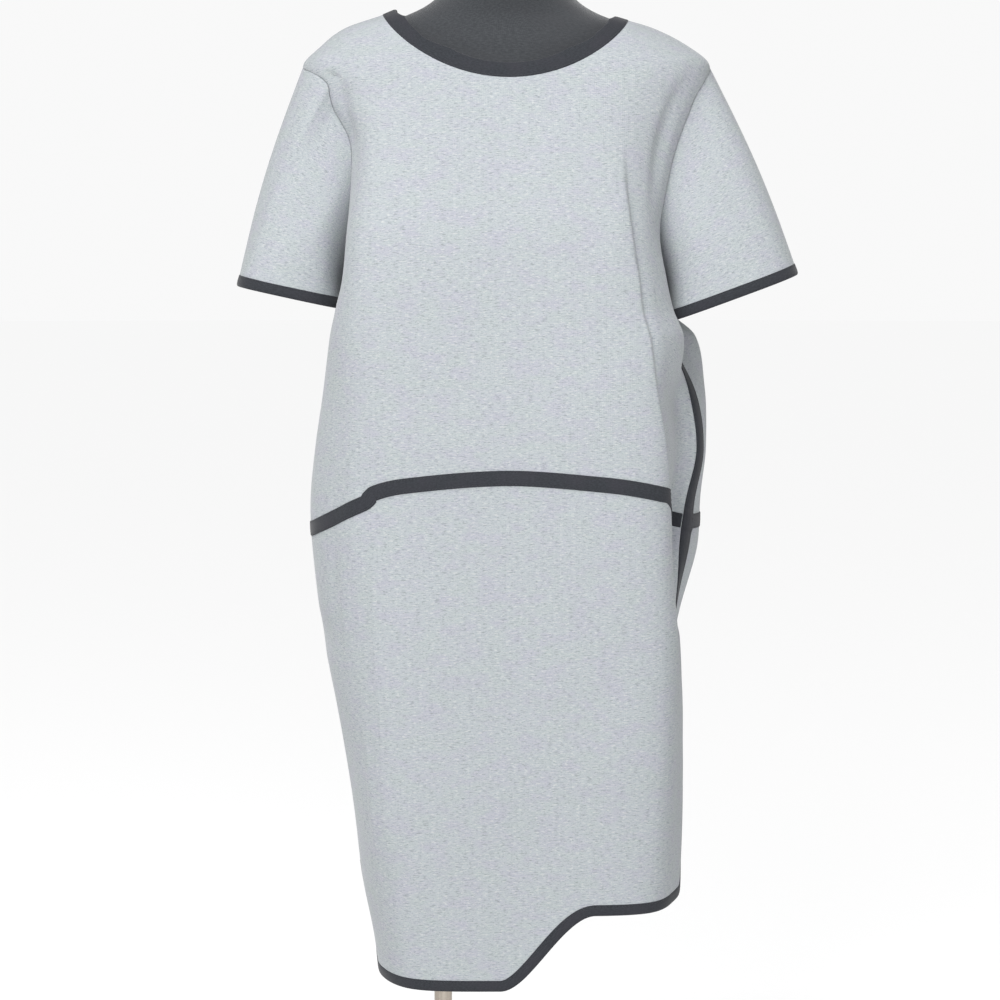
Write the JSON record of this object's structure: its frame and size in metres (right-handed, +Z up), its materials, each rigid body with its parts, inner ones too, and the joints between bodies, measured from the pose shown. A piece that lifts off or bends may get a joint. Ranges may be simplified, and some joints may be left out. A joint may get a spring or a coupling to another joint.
{
  "type": "sweatshirt dress on a limbless dress form",
  "caption": "Short-sleeved knit dress with contrast binding, waist and side tapes and a slanting hem, worn by a limbless dress form on a pole and round base.",
  "frame": {"origin": "centre of the round base's underside, on the axis of the pole", "axes": "+Z up along the pole, the front of the dress faces -Y, +X points to the wearer's left"},
  "size_m": [0.5809, 0.36, 1.47],
  "materials": {
    "jersey": "thick melange double-knit jersey, light grey with darker and paler flecks",
    "trim": "charcoal rib-knit binding and tape, matt",
    "form_cover": "dark grey stretch jersey cover, smooth",
    "pole_metal": "satin bronze-grey metal tube",
    "stand_lacquer": "satin black lacquer"
  },
  "bodies": {
    "root": {"front_bodice": "jersey", "back_bodice": "jersey", "front_skirt": "jersey", "back_skirt": "jersey", "sleeve_right": "jersey", "sleeve_left": "jersey", "neck_binding": "trim", "cuff_binding_right": "trim", "cuff_binding_left": "trim", "hem_binding_front": "trim", "hem_binding_back": "trim", "waist_tape_front": "trim", "waist_tape_back": "trim", "side_tape_right": "trim", "side_tape_left": "trim", "form_body": "form_cover", "pole": "pole_metal", "pole_collar": "stand_lacquer", "form_flange": "stand_lacquer", "base_plate": "stand_lacquer"}
  },
  "joints": []
}
